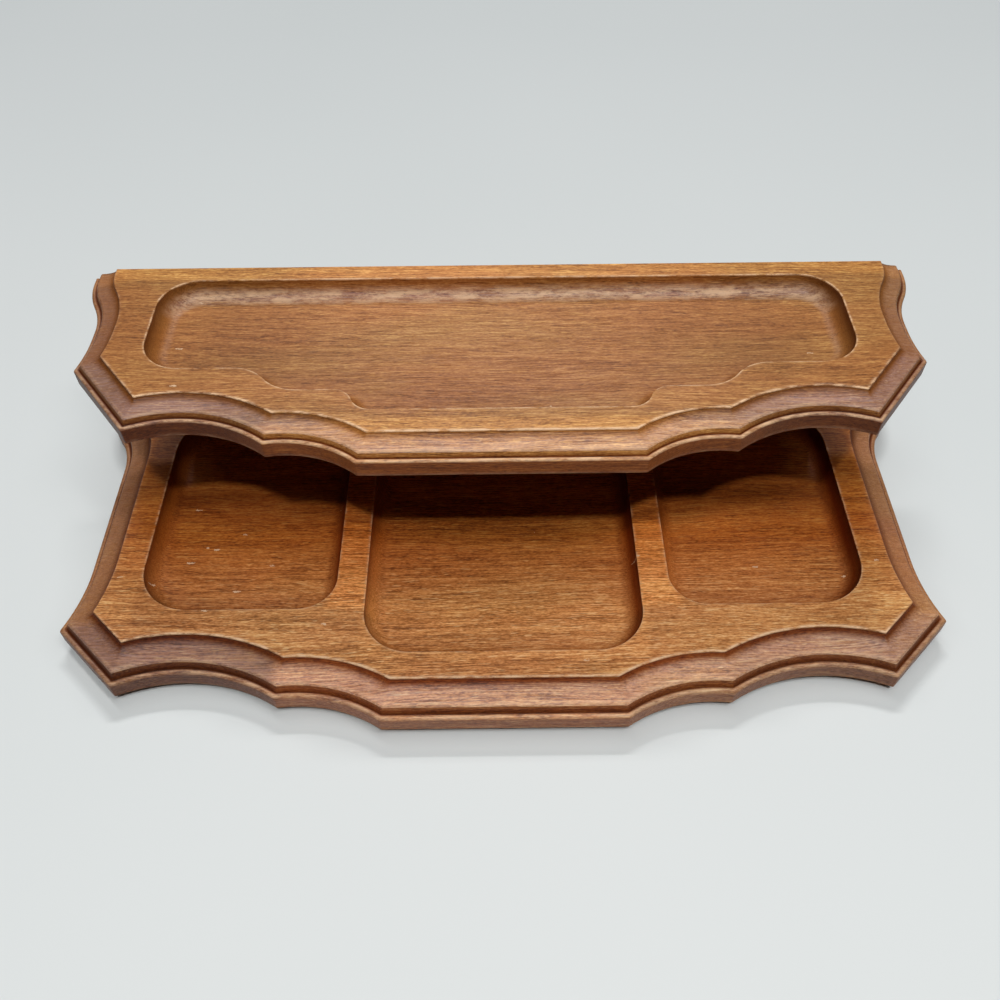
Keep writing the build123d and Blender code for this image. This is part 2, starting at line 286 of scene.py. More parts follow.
def moulding_profile(board, thickness):
    """(inset, drop, marks) from the bottom edge, up the side, over the bead, the groove, the
    riser, the nose and the cove, to the top face. The marks are the wear, the stain and the
    painted sheen there: wear is where hands rubbed the stain off, or below zero painted shade
    in the groove, and the stain in the cove's steep part is partly painted shade."""
    width, height = board["moulding"]
    ridge = (RIDGE_SHARES[0] * width, RIDGE_SHARES[1] * height)
    riser_top = (RISER_TOP_SHARES[0] * width, RISER_TOP_SHARES[1] * height)
    rows = []

    def put(inset_share, drop_share, *marks):
        rows.append((inset_share * width, drop_share * height, marks))

    def soften(before, corner, after, radius, *marks, steps=3):
        for p in rounded(corner, before, after, radius, steps):
            rows.append((p.x, p.y, marks))

    side = (0.0, board["side_stain"], board["side_painted_sheen"])
    soften((1, thickness), (0, thickness), (0, height), FOOT_ROUNDING,
           FOOT_WEAR, board["side_stain"], FOOT_PAINTED_SHEEN)
    rows.append((0, thickness - FOOT_HEIGHT, side))
    rows.append((0, SIDE_TOP_SHARE * height + SIDE_TOP_MARGIN, side))
    put(*BEAD_START_SHARES, *side)
    for inset, drop, share in BEAD_SHARES:
        put(inset, drop, share * board["bead_wear"], 0.0, BEAD_PAINTED_SHEEN)
    put(*BEAD_BACK_SHARES, *BEAD_BACK_MARKS)
    for inset, drop, share, stain_and_shade in GROOVE_SHARES:
        put(inset, drop, -share * board["groove_shade"], stain_and_shade, 0.0)
    put(*RISER_FOOT_SHARES, 0.0, RISER_FOOT_STAIN + board["riser_stain"], 0.0)
    rows.append((*riser_top, (0.0, board["riser_stain"], 0.0)))

    run, rise = width - ridge[0], ridge[1] - COVE_END_SHARE * height
    cove = []
    for i in range(COVE_STEPS + 1):
        angle = math.pi / 2 * i / COVE_STEPS
        stain_and_shade = board["cove_stain_and_shade"] * share_between(math.degrees(angle), *COVE_STAIN_AND_SHADE_ANGLES)
        painted_sheen = 1 - share_between(math.degrees(angle), *COVE_PAINTED_SHEEN_ANGLES)
        cove.append((ridge[0] + run * math.sin(angle), ridge[1] - rise * (1 - math.cos(angle)),
                     (0.0, stain_and_shade, painted_sheen)))
    soften(riser_top, ridge, cove[3][:2], NOSE_SHARE * width, *NOSE_MARKS, steps=5)
    rows += cove[2:-1]
    soften(cove[-2][:2], (width, 0), (width + 1, 0), ARRIS_ROUNDING, *ARRIS_MARKS)
    rows.append((width + ARRIS_ROUNDING + GUARD, 0.0, BY_ARRIS_MARKS))
    rows.append((width + ARRIS_ROUNDING + WIDE_GUARD, 0.0, PLAIN))
    return rows


# ---------------------------------------------------------------- meshes

LARGE_FACES_FIRST = 80
ARC_STEP = 1.2
FEWEST_ARC_STEPS = 4
STRAIGHT_STEP = 4


class Shell:
    """A mesh built from rows of points, each with its own marks for the wood's colour."""

    MARKS = ("wear_and_painted_light", "stain_and_shade", "painted_sheen", "shade", "end_grain")

    def __init__(self, name):
        self.name = name
        self.mesh = bmesh.new()
        layers = self.mesh.verts.layers.float
        for mark in self.MARKS:
            layers.new(mark)
        self.marks = [layers[mark] for mark in self.MARKS]

    def row(self, points, z, marks=PLAIN):
        verts = []
        for p in points:
            vert = self.mesh.verts.new((p.x * MM, p.y * MM, z * MM))
            for layer, share in zip(self.marks, marks):
                vert[layer] = share
            verts.append(vert)
        return verts

    def skin(self, rows, closed):
        for below, above in zip(rows, rows[1:]):
            count = len(below)
            for i in range(count if closed else count - 1):
                j = (i + 1) % count
                self.mesh.faces.new((below[i], below[j], above[j], above[i]))

    def fill(self, loops):
        """Closes a flat face that the first loop bounds and the others pierce."""
        edges = []
        for loop in loops:
            for a, b in zip(loop, loop[1:] + loop[:1]):
                edges.append(self.mesh.edges.get((a, b)) or self.mesh.edges.new((a, b)))
        bmesh.ops.triangle_fill(self.mesh, use_beauty=True, edges=edges)

    def finish(self, material, slot, node):
        bmesh.ops.recalc_face_normals(self.mesh, faces=self.mesh.faces)
        for face in self.mesh.faces:
            face.smooth = True
        mesh = bpy.data.meshes.new(self.name)
        self.mesh.to_mesh(mesh)
        self.mesh.free()
        piece = bpy.data.objects.new(self.name, mesh)
        bpy.context.scene.collection.objects.link(piece)
        piece.data.materials.append(material)
        weighted = piece.modifiers.new("weighted", "WEIGHTED_NORMAL")
        weighted.weight = LARGE_FACES_FIRST
        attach(piece, "root")
        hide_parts(node)


def rounded_polygon(corners, radii):
    """Points and inward normals round a polygon whose corners are rounded."""
    points = []
    count = len(corners)
    for i, corner in enumerate(corners):
        corner = Vector(corner)
        back = (Vector(corners[i - 1]) - corner).normalized()
        ahead = (Vector(corners[(i + 1) % count]) - corner).normalized()
        half_angle = back.angle(ahead) / 2
        reach = radii[i] / math.tan(half_angle)
        start = corner + back * reach
        centre = corner + (back + ahead).normalized() * (radii[i] / math.sin(half_angle))
        turns_left = (-back).cross(ahead) > 0
        first = start - centre
        sweep = (math.pi - 2 * half_angle) * (1 if turns_left else -1)
        steps = max(FEWEST_ARC_STEPS, math.ceil(abs(sweep) * radii[i] / ARC_STEP))
        for k in range(steps + 1):
            spoke = Matrix.Rotation(sweep * k / steps, 2) @ first
            inward = -spoke.normalized() if turns_left else spoke.normalized()
            points.append((centre + spoke, inward))
    loop = []
    for (p, n), (q, m) in zip(points, points[1:] + points[:1]):
        pieces = max(1, round((q - p).length / STRAIGHT_STEP))
        for k in range(pieces):
            loop.append((p.lerp(q, k / pieces), n.lerp(m, k / pieces).normalized()))
    return loop


# A routed pocket: a plumb start of its wall, and a cove down to its floor
POCKET_DEPTH = 8.5
POCKET_COVE = 7.0
POCKET_STEPS = 10
RIM_RADIUS = 0.35
WALL_START = 0.75
FLOOR_EDGE = 0.6

# The marks just outside the rim, the steps of the cove over which its painted sheen sets in,
# and the insets where the marks end and where the wood stops being cut fully across its grain
BY_RIM_MARKS = (0.1, 0.0, 0.0)
PAINTED_SHEEN_STEPS = (1, 5)
MARKED_INSET = 8.0
END_GRAIN_INSET = 2.0

# How much painted shade darkens the right-hand walls and how much lighter the left-hand ones
# are left, as if lit, the painted shade that the front walls add, and the painted highlight
# that goes with the painted sheen on the rear coves
RIGHT_WALL_PAINTED_SHADE = 0.85
FRONT_WALL_PAINTED_SHADE = 0.4
REAR_COVE_PAINTED_HIGHLIGHT = 1.2


def pocket_profile(board):
    """(inset, drop, marks) of a pocket's edge, from the top face over the rim to the floor."""
    worn = (board["rim_wear"], 0.0, 0.0)
    rows = [(-WIDE_GUARD - RIM_RADIUS, 0.0, PLAIN),
            (-GUARD - RIM_RADIUS, 0.0, BY_RIM_MARKS)]
    rows += [(p.x, p.y, worn) for p in rounded((0, 0), (-1, 0), (0, 1), RIM_RADIUS)]
    rows.append((0, WALL_START, (0.0, board["wall_stain_and_shade"], 0.0)))
    for i in range(POCKET_STEPS + 1):
        angle = math.pi / 2 * i / POCKET_STEPS
        rows.append((
            POCKET_COVE * (1 - math.cos(angle)),
            POCKET_DEPTH - POCKET_COVE + POCKET_COVE * math.sin(angle),
            (0.0, board["wall_stain_and_shade"] * (1 - i / POCKET_STEPS),
             board["wall_painted_sheen"] * math.sin(2 * angle) * share_between(i, *PAINTED_SHEEN_STEPS)),
        ))
    rows.append((POCKET_COVE + FLOOR_EDGE, POCKET_DEPTH, PLAIN))
    rows.append((board["floor_ring"], POCKET_DEPTH, PLAIN))
    return rows


def add_pocket(shell, board, corners, radii, top_z):
    """Cuts one routed pocket and returns its outermost row, for the top face to meet."""
    outline = rounded_polygon(corners, radii)
    wear_and_painted_light, stain_and_shade, painted_sheen, _, end_grain = shell.marks
    rows = []
    for inset, drop, marks in pocket_profile(board):
        rows.append(shell.row([p + n * inset for p, n in outline], top_z - drop, marks))
        if not 0 <= inset < MARKED_INSET:
            continue
        across = share_between(inset, POCKET_COVE + FLOOR_EDGE, END_GRAIN_INSET)
        for vert, (_, n) in zip(rows[-1], outline):
            vert[end_grain] = abs(n.x) * across
            # Painted shade: darker right-hand and front walls, lighter left-hand walls, as the
            # light falls
            vert[stain_and_shade] *= 1 - RIGHT_WALL_PAINTED_SHADE * n.x
            vert[stain_and_shade] += FRONT_WALL_PAINTED_SHADE * max(0.0, n.y)
            # Painted sheen only on the rear coves, which face the front, and there a painted
            # highlight of pale wood
            vert[painted_sheen] *= max(0.0, -n.y)
            vert[wear_and_painted_light] += REAR_COVE_PAINTED_HIGHLIGHT * vert[painted_sheen]
    shell.skin(rows, closed=True)
    shell.fill([rows[-1]])
    return rows[0]


# What is left off the marks past the corner and along the side
CORNER_WEAR_LOSS, SIDE_WEAR_LOSS = 0.6, 0.25
CORNER_PAINTED_SHEEN_LOSS, SIDE_PAINTED_SHEEN_LOSS = 0.15, 0.5
SIDE_SHADE_LOSS = 0.35

# How far before and after each of these places its marks blend in, in millimetres
INNER_CUSP_BLEND, OUTER_CUSP_BLEND = (-1, 2), (-2, 3)
CORNER_BLEND, SIDE_BLEND = (-3, 3), (-2, 3)


def share_past(value, place, blend):
    return share_between(value, place + blend[0], place + blend[1])


def mark_moulding(shell, board, row, on_bead, on_top):
    """Marks the end grain that faces sideways, and paints shade on the scallops and the
    corners.
    """
    wear_and_painted_light, _, painted_sheen, shade, end_grain = shell.marks
    left_scallop, right_scallop, left_corner, right_corner, bead = board["shades"]
    inner_x, cusp_x = board["inner_cusp_x"], board["outer_cusp"][0]
    corner_x = board["half_width"] - board["corner_cut"][0]
    side_y = REAR_Y - board["depth"] + board["side_corner"]
    for before, vert, after in zip(row[:1] + row, row, row[1:] + row[-1:]):
        along = (after.co - before.co).normalized()
        vert[end_grain] = 0.0 if on_top else abs(along.y)
        x, y = abs(vert.co.x / MM), vert.co.y / MM
        on_left = vert.co.x < 0
        past_corner = share_past(x, corner_x, CORNER_BLEND)
        past_side = share_past(y, side_y, SIDE_BLEND)
        dimmed = (left_scallop if on_left else right_scallop) * (1 - past_corner)
        dimmed *= share_past(x, cusp_x, OUTER_CUSP_BLEND)
        dimmed += (left_corner if on_left else right_corner) * past_corner
        if on_bead:
            dimmed = max(dimmed, bead * share_past(x, inner_x, INNER_CUSP_BLEND))
        vert[shade] = 0.0 if on_top else dimmed * (1 - SIDE_SHADE_LOSS * past_side)
        vert[wear_and_painted_light] *= 1 - CORNER_WEAR_LOSS * past_corner - SIDE_WEAR_LOSS * past_side
        vert[painted_sheen] *= 1 - CORNER_PAINTED_SHEEN_LOSS * past_corner - SIDE_PAINTED_SHEEN_LOSS * past_side


HOLE_POINTS = 32


def circle(centre, radii):
    """Points round a centre, each at its own radius."""
    step = math.tau / len(radii)
    return [Vector((centre[0] + radius * math.cos(i * step),
                    centre[1] + radius * math.sin(i * step))) for i, radius in enumerate(radii)]


def add_hole(shell, centre, rows, bottom_z):
    """A countersunk hole up into the underside; rows hold its radii and heights."""
    rings = [shell.row(circle(centre, [radius] * HOLE_POINTS), bottom_z + height)
             for radius, height in rows]
    shell.skin(rings, closed=True)
    shell.fill([rings[-1]])
    return rings[0]


BACK_ARRIS = 0.4
SAME_PLACE = 1e-4


def build_board(name, board, pockets, holes, material, slot):
    """One moulded board with its pockets, its sawn back and its flat underside."""
    low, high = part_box(board["node"])
    bottom_z, top_z = low.z / MM, high.z / MM
    width, height = board["moulding"]
    stretches = half_outline(board)
    shell = Shell(name)
    rows = []
    for inset, drop, marks in moulding_profile(board, top_z - bottom_z):
        points = whole_loop(inset_loop(stretches, inset, CORNER_ROUNDING))
        points[0].y = points[-1].y = REAR_Y - max(0.0, BACK_ARRIS - drop)
        rows.append(shell.row(points, top_z - drop, marks))
        on_bead = 0 < inset < BEAD_END_SHARE * width and drop < height
        on_top = inset > width + ARRIS_ROUNDING / 2
        mark_moulding(shell, board, rows[-1], on_bead, on_top)
    shell.skin(rows, closed=False)
    rims = [add_pocket(shell, board, corners, radii, top_z) for corners, radii in pockets]
    shell.fill([rows[-1]] + rims)
    mouths = [add_hole(shell, centre, hole, bottom_z) for centre, hole in holes]
    shell.fill([rows[0]] + mouths)
    # The back is a flat face, and a narrow slant runs along its top
    on_back = [i for i, row in enumerate(rows) if abs(row[0].co.y / MM - REAR_Y) < SAME_PLACE]
    for stretch in ([rows[i] for i in on_back], rows[on_back[-1]:]):
        shell.fill([[row[0] for row in stretch] + [row[-1] for row in reversed(stretch)]])
    shell.finish(material, slot, board["node"])


# ---------------------------------------------------------------- materials

# Noise of the grain: how often it changes in a metre along the grain and across it, where it
# is moved to, its detail and its roughness. The first table's layers follow the grain's sway.
SWAYING_NOISE = {
    "bands": ((9, 400, 400), (0, 0, 0), 2.0, 0.5),
    "streaks": ((30, 1900, 1900), (0, 0, 0), 2.0, 0.6),
    "flakes": ((150, 2300, 2300), (0, 0, 0), 1.0, 0.6),
    "grit": ((600, 2000, 2000), (0, 0, 0), 1.0, 0.6),
    "dashes": ((75, 2200, 2200), (0.3, 0.2, 0.1), 1.0, 0.5),
    "flecks": ((180, 1900, 1900), (0.1, 0.3, 0.2), 1.0, 0.5),
}
STEADY_NOISE = {
    "patches": ((8, 18, 18), (0, 0, 0), 2.0, 0.5),
    "hue": ((11, 26, 26), (0.7, 0.4, 0.0), 3.0, 0.5),
    "dust": ((420, 1500, 1500), (0, 0, 0), 2.0, 0.6),
    "rubbed_and_highlit": ((90, 300, 300), (0, 0, 0), 5.0, 0.75),
}
RING_SHARE = 0.10
FIGURE_SHARES = {"bands": 0.12, "streaks": 0.24, "flakes": 0.22, "grit": 0.22, "patches": 0.10}
FIGURE_SPREAD = 0.1
TONE_PLACES = (0.0, 0.27, 0.52, 0.78, 1.0)
RINGS_PER_METRE = 420.0
SWAY_SCALE = (6, 24, 24)
SWAY = (0.0, 0.012, 0.012)
SEED_SHIFT = (0.37, 0.11, 0.23)

# Where in its noise each layer starts and where it is full
DASHES, FLECKS, HUES = (0.60, 0.68), (0.64, 0.70), (0.40, 0.60)
DUST, RUBBED_AND_HIGHLIT, PAINTED_SHEEN_STREAKS = (0.56, 0.68), (0.42, 0.58), (0.35, 0.65)
DASH_SHARE, FLECK_SHARE, DUST_SHARE, RUB_AND_HIGHLIGHT_SHARE, GROOVE_PAINTED_SHADE_SHARE = 0.5, 0.7, 0.35, 0.85, 0.9
SAWN_SHARE = 0.8
PORES = (0.40, 0.12)
PORE_SCALE = 1800

# How much painted sheen the streaks let through, and how painted shade thins the painted
# sheen and the dust in it
PAINTED_SHEEN_THROUGH_STREAKS = (0.35, 1.0)
PAINTED_SHEEN_BY_SHADE = (0.0, 1.0, 1.0, 0.6)
DUST_BY_SHADE = (0.0, 0.6, 1.0, 0.2)

# The marks of use stay off the underside, from the first height above it to the second
ON_SHOW = (0.2, 1.5)

# Tints that multiply the wood's colour, and paints that cover it: warm and greenish hues,
# painted shade under the upper tray, painted shade on the scallops and the corners, stain with
# painted shade, a painted bluish sheen, bare wood that is also a painted highlight, painted
# shade in the groove, and the nicks' paint
WARM_TINT, GREENISH_TINT = (1.0, 0.93, 0.86), (1.0, 1.06, 1.0)
UNDER_TRAY_SHADE_TINT = (0.80, 0.52, 0.24)
SHADE_TINT = (0.26, 0.19, 0.08)
STAIN_AND_SHADE_TINT = (0.385, 0.20, 0.10)
PAINTED_SHEEN_GLOW = (0.07, 0.10, 0.14)
BARE_WOOD_AND_HIGHLIGHT = (0.78, 0.51, 0.30)
GROOVE_PAINTED_SHADE = (0.02, 0.008, 0.004)
NICK_PAINT = (0.72, 0.50, 0.32)

# Small nicks: how often they come, which of them show, and how large those get
NICK_CELLS = (70, 105, 105)
NICK_ODDS = 0.84
NICK_REACH = 0.05
NICK_SHARE = 0.8
NICK_ROUNDING = (2.8, 3.6)
NICK_EDGE = 0.99
RAGGED_SCALE, RAGGEDNESS = 900.0, (0.002, 0.002, 0)

# The satin finish
SPECULAR = 0.25
STREAK_ROUGHNESS = (0.3, 0.7, 0.52, 0.40)
NICK_ROUGHNESS = 0.3
DASH_RELIEF, STREAK_RELIEF, NICK_RELIEF = -0.5, 0.45, 1.2
RELIEF_STRENGTH, RELIEF_HEIGHT = 0.35, 0.0003


class Graph:
    """Short calls for the nodes of one material."""

    def __init__(self, name):
        self.material = bpy.data.materials.new(name)
        self.material.use_nodes = True
        self.nodes = self.material.node_tree.nodes
        self.links = self.material.node_tree.links
        self.shader = self.nodes["Principled BSDF"]

    def node(self, kind, inputs=None, **settings):
        made = self.nodes.new(kind)
        for key, value in settings.items():
            setattr(made, key, value)
        for key, value in (inputs or {}).items():
            self.put(made.inputs[key], value)
        return made

    def put(self, socket, value):
        if isinstance(value, bpy.types.NodeSocket):
            self.links.new(value, socket)
        else:
            socket.default_value = value

    def place(self):
        return self.node("ShaderNodeTexCoord").outputs["Object"]

    def attribute(self, name):
        return self.node("ShaderNodeAttribute", attribute_name=name).outputs["Fac"]

    def math(self, operation, a, b=0.0, clamp=False):
        made = self.node("ShaderNodeMath", {0: a, 1: b}, operation=operation, use_clamp=clamp)
        return made.outputs[0]

    def times(self, a, b, clamp=False):
        return self.math("MULTIPLY", a, b, clamp)

    def vector(self, operation, a, b=(0, 0, 0)):
        made = self.node("ShaderNodeVectorMath", {0: a, 1: b}, operation=operation)
        return made.outputs["Value" if operation == "LENGTH" else "Vector"]

    def remap(self, value, low, high, to_low=0.0, to_high=1.0):
        made = self.node("ShaderNodeMapRange", {
            "Value": value, "From Min": low, "From Max": high,
            "To Min": to_low, "To Max": to_high,
        })
        return made.outputs["Result"]

    def noise(self, vector, scale=1.0, detail=2.0, roughness=0.5, output="Fac"):
        made = self.node("ShaderNodeTexNoise", {
            "Vector": vector, "Scale": scale, "Detail": detail, "Roughness": roughness,
        })
        return made.outputs[output]

    def drift(self, vector, scale=1.0, detail=2.0):
        """Noise in three directions, round zero."""
        drifting = self.noise(vector, scale, detail, output="Color")
        return self.vector("SUBTRACT", drifting, (0.5, 0.5, 0.5))

    def stretched(self, vector, scale, offset=(0, 0, 0)):
        made = self.node("ShaderNodeMapping", {
            "Vector": vector, "Scale": scale, "Location": offset,
        })
        return made.outputs["Vector"]

    def blend(self, share, a, b, kind="MIX"):
        made = self.node("ShaderNodeMix", data_type="RGBA", blend_type=kind)
        self.put(made.inputs[0], share)
        self.put(made.inputs[6], a)
        self.put(made.inputs[7], b)
        return made.outputs[2]

    def ramp(self, share, stops):
        made = self.node("ShaderNodeValToRGB", {"Fac": share})
        elements = made.color_ramp.elements
        while len(elements) < len(stops):
            elements.new(0.5)
        for element, (place, color) in zip(elements, stops):
            element.position = place
            element.color = (*color, 1)
        return made.outputs["Color"]

    def finish(self, color, roughness, height=None, strength=0.0, distance=0.0):
        """Sets the shader's colour, roughness and relief."""
        self.put(self.shader.inputs["Base Color"], color)
        self.put(self.shader.inputs["Roughness"], roughness)
        if height is not None:
            bump = self.node("ShaderNodeBump", {"Height": height, "Strength": strength,
                                                "Distance": distance})
            self.put(self.shader.inputs["Normal"], bump.outputs["Normal"])
        return self.material


class Wood(Graph):
    """Stained wood with its grain along X. Each method lays one more thing on its colour."""

    def __init__(self, name, seed, underside):
        super().__init__(name)
        self.seed = seed
        self.here = self.place()
        self.spot = self.node("ShaderNodeSeparateXYZ", {0: self.here}).outputs
        self.sideways = self.math("ABSOLUTE", self.spot["X"])
        self.on_show = self.ramped(self.spot["Z"], [underside + height for height in ON_SHOW])
        self.moved = self.stretched(self.here, (1, 1, 1), [seed * step for step in SEED_SHIFT])
        sway = self.drift(self.stretched(self.moved, SWAY_SCALE), detail=3.0)
        self.bent = self.vector("ADD", self.moved, self.vector("MULTIPLY", sway, SWAY))
        self.streaks = self.layer("streaks")

    def ramped(self, coordinate, start_and_full):
        """A share that grows from the first place to the second, in millimetres."""
        start, full = start_and_full
        return self.remap(coordinate, start * MM, full * MM)

    def layer(self, name):
        swaying = name in SWAYING_NOISE
        scale, offset, detail, rough = (SWAYING_NOISE if swaying else STEADY_NOISE)[name]
        stretched = self.stretched(self.bent if swaying else self.moved, scale, offset)
        return self.noise(stretched, detail=detail, roughness=rough)

    def tint(self, share, tint):
        self.color = self.blend(share, self.color, (*tint, 1), kind="MULTIPLY")

    def paint(self, share, paint):
        self.color = self.blend(share, self.color, (*paint, 1))

    def rings(self, pith):
        """Growth rings round a distant pith, cut almost flat, so that they open into arches."""
        pith_y, pith_z, lean = pith
        parts = self.node("ShaderNodeSeparateXYZ", {0: self.bent}).outputs
        across = self.math("SUBTRACT", parts["Y"], pith_y + self.seed * SEED_SHIFT[1])
        across = self.math("ADD", across, self.times(parts["X"], lean))
        up = self.math("SUBTRACT", parts["Z"], pith_z + self.seed * SEED_SHIFT[2])
        radius = self.math("SQRT", self.math("ADD", self.times(across, across),
                                             self.times(up, up)))
        return self.node("ShaderNodeTexNoise", {
            "W": self.times(radius, RINGS_PER_METRE), "Scale": 1.0, "Detail": 3.0,
            "Roughness": 0.6}, noise_dimensions="1D").outputs["Fac"]

    def grain(self, tones, pith, contrast):
        """Rings, streaks, dark dashes and pale flecks; wood sawn across shows fine pores."""
        figure = self.times(self.rings(pith), RING_SHARE)
        for name, share in FIGURE_SHARES.items():
            layer = self.streaks if name == "streaks" else self.layer(name)
            figure = self.math("ADD", figure, self.times(layer, share))
        pores = self.noise(self.stretched(self.here, (PORE_SCALE,) * 3), detail=1.0)
        pores = self.math("ADD", PORES[0], self.times(pores, PORES[1]))
        sawn_across = self.times(self.attribute("end_grain"), SAWN_SHARE)
        sawn_along = self.math("SUBTRACT", 1.0, sawn_across)
        figure = self.node("ShaderNodeMix", {"Factor": sawn_across, "A": figure,
                                             "B": pores}).outputs["Result"]
        spread = FIGURE_SPREAD / contrast
        self.color = self.ramp(self.remap(figure, 0.5 - spread, 0.5 + spread),
                               list(zip(TONE_PLACES, tones)))
        self.dashes = self.times(self.remap(self.layer("dashes"), *DASHES), sawn_along)
        self.paint(self.times(self.dashes, DASH_SHARE * contrast), tones[0])
        flecks = self.times(self.remap(self.layer("flecks"), *FLECKS), sawn_along)
        self.paint(self.times(flecks, FLECK_SHARE), tones[-1])
        hue = self.remap(self.layer("hue"), *HUES)
        warm = self.blend(1.0, self.color, (*WARM_TINT, 1), kind="MULTIPLY")
        greenish = self.blend(1.0, self.color, (*GREENISH_TINT, 1), kind="MULTIPLY")
        self.color = self.blend(hue, warm, greenish)

    def paint_under_tray_shade(self, reach):
        """Painted shade on the base where the upper tray keeps the light off."""
        under = self.times(self.ramped(self.spot["Y"], reach["depth"]),
                           self.ramped(self.sideways, reach["side"]))
        deep = self.times(self.ramped(self.spot["Y"], reach["far_depth"]),
                          self.ramped(self.sideways, reach["far_side"]))
        under = self.math("MAXIMUM", under, deep)
        off_moulding = self.math("MAXIMUM", self.ramped(self.sideways, reach["in_moulding"]),
                                 self.ramped(self.spot["Z"], reach["top"]))
        under = self.times(self.times(under, off_moulding), self.on_show)
        self.tint(self.times(under, self.ramped(self.spot["Y"], reach["back"])), UNDER_TRAY_SHADE_TINT)

    def handle(self, left, right, front, back, side_fade, fade, tint):
        """A stretch on both halves tinted lighter or darker: the polish of hands, painted shade
        under the upper tray, and darker ends.
        """
        share = self.ramped(self.sideways, (left - side_fade, left))
        for coordinate, edge in ((self.sideways, (right + side_fade, right)),
                                 (self.spot["Y"], (front - fade, front)),
                                 (self.spot["Y"], (back + fade, back))):
            share = self.math("MINIMUM", share, self.ramped(coordinate, edge))
        self.tint(self.times(share, self.on_show), tint)

    def mark(self):
        """What the mesh marks: painted shade, stain with painted shade in the coves and on the
        pocket walls, a painted bluish sheen with dust in it, painted shade in the groove, and
        bare wood on the rubbed arrises, which on the rear coves is a painted highlight."""
        shade = self.attribute("shade")
        self.tint(shade, SHADE_TINT)
        self.tint(self.attribute("stain_and_shade"), STAIN_AND_SHADE_TINT)
        painted_sheen = self.attribute("painted_sheen")
        # Painted sheen: a bluish glow added where the finish would reflect the lamps, thinner
        # in the painted shade
        thin = self.remap(self.streaks, *PAINTED_SHEEN_STREAKS, *PAINTED_SHEEN_THROUGH_STREAKS)
        thin = self.times(self.times(painted_sheen, thin), self.remap(shade, *PAINTED_SHEEN_BY_SHADE))
        self.color = self.blend(thin, self.color, (*PAINTED_SHEEN_GLOW, 1), kind="ADD")
        dusty = self.times(painted_sheen, self.remap(self.layer("dust"), *DUST, 0.0, DUST_SHARE))
        self.paint(self.times(dusty, self.remap(shade, *DUST_BY_SHADE)), BARE_WOOD_AND_HIGHLIGHT)
        # The wear mark paints bare wood on the rubbed arrises and a painted highlight on the
        # rear coves; below zero it paints shade in the groove
        wear_and_painted_light = self.attribute("wear_and_painted_light")
        self.paint(self.times(wear_and_painted_light, -GROOVE_PAINTED_SHADE_SHARE, clamp=True), GROOVE_PAINTED_SHADE)
        rubbed_and_highlit = self.times(self.remap(self.layer("rubbed_and_highlit"), *RUBBED_AND_HIGHLIT),
                            self.math("MAXIMUM", wear_and_painted_light, 0.0))
        self.paint(self.times(rubbed_and_highlit, RUB_AND_HIGHLIGHT_SHARE, clamp=True), BARE_WOOD_AND_HIGHLIGHT)

    def nick(self, spots):
        """Pale nicks: small ones, a few to each hand's breadth, and those at the spots."""
        cells = self.node("ShaderNodeTexVoronoi", {
            "Vector": self.stretched(self.moved, NICK_CELLS), "Scale": 1.0, "Randomness": 1.0})
        dice = self.node("ShaderNodeSeparateColor", {0: cells.outputs["Color"]}).outputs[0]
        size = self.remap(dice, NICK_ODDS, 1.0, 0.0, NICK_REACH)
        nicks = self.math("LESS_THAN", cells.outputs["Distance"], size)
        if spots:
            flutter = self.stretched(self.drift(self.here, RAGGED_SCALE), RAGGEDNESS)
            ragged = self.vector("ADD", self.here, flutter)
            flat = self.stretched(ragged, (1 / MM, 1 / MM, 0))
            nearest = 1.0
            for x, y, length, width in spots:
                scale = (NICK_ROUNDING[0] / length, NICK_ROUNDING[1] / width, 0)
                offset = (-x * scale[0], -y * scale[1], 0)
                near = self.vector("LENGTH", self.stretched(flat, scale, offset))
                nearest = self.math("MINIMUM", nearest, near)
            nicks = self.math("MAXIMUM", nicks, self.math("LESS_THAN", nearest, NICK_EDGE))
        self.nicks = self.times(nicks, self.on_show)
        self.paint(self.times(self.nicks, NICK_SHARE), NICK_PAINT)

    def polish(self):
        """A satin finish, with the dashes and the nicks let in."""
        self.shader.inputs["Specular IOR Level"].default_value = SPECULAR
        rough = self.math("ADD", self.remap(self.streaks, *STREAK_ROUGHNESS),
                          self.times(self.nicks, NICK_ROUGHNESS))
        relief = self.math("ADD", self.times(self.dashes, DASH_RELIEF),
                           self.times(self.streaks, STREAK_RELIEF))
        relief = self.math("SUBTRACT", relief, self.times(self.nicks, NICK_RELIEF))
        return self.finish(self.color, rough, relief, RELIEF_STRENGTH, RELIEF_HEIGHT)


def wood(name, tones, pith, seed, contrast=1.0, under_tray_shade=None, tinted_stretches=(), nicks=(),
         underside=0.0):
    """A wood of five tones from dark to pale. The pith is the rings' middle, as Y and Z in
    metres with a lean along X; the other places are in millimetres."""
    made = Wood(name, seed, underside)
    made.grain(tones, pith, contrast)
    if under_tray_shade:
        made.paint_under_tray_shade(under_tray_shade)
    for stretch in tinted_stretches:
        made.handle(*stretch)
    made.mark()
    made.nick(nicks)
    return made.polish()


FELT_TONES = [(0.0, (0.016, 0.030, 0.014)), (0.5, (0.034, 0.058, 0.028)),
              (1.0, (0.075, 0.11, 0.06))]
STEEL_TONES = [(0.0, (0.52, 0.50, 0.46)), (0.6, (0.42, 0.39, 0.34)), (1.0, (0.20, 0.15, 0.11))]
PAPER_TONES = [(0.3, (0.665, 0.695, 0.69)), (0.7, (0.695, 0.72, 0.715))]
# Painted shade: the paper darker towards the back
PAPER_BEHIND_TINT = (0.88, 0.89, 0.90)


